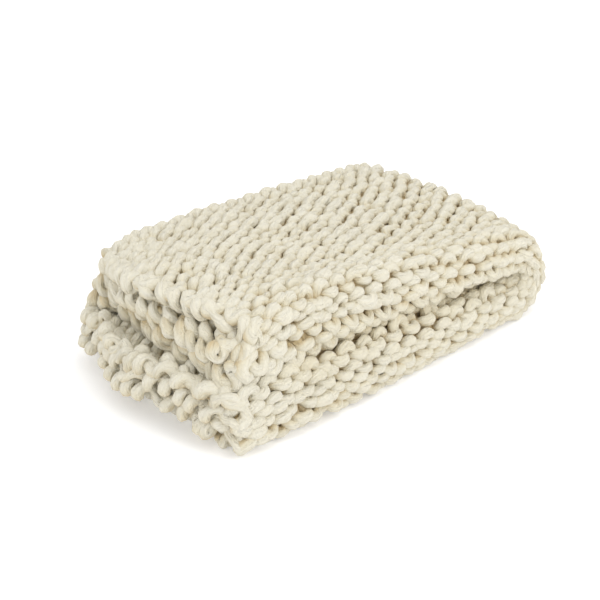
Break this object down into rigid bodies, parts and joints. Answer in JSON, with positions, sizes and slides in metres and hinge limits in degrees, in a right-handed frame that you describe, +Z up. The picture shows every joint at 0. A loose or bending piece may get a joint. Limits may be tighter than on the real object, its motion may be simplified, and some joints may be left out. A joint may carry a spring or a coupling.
{
  "type": "folded knitted blanket",
  "caption": "Chunky hand-knitted wool throw blanket, folded lengthwise and again in half into a soft stack with one creased side.",
  "frame": {"origin": "centre of the folded blanket's footprint, on the surface that it rests on", "axes": "+Z up, +X along the folded length towards the closed turn, the lengthwise crease on the -Y side"},
  "size_m": [0.683, 0.4106, 0.1976],
  "materials": {
    "wool": "matte"
  },
  "bodies": {
    "root": {"blanket": "wool"}
  },
  "joints": []
}
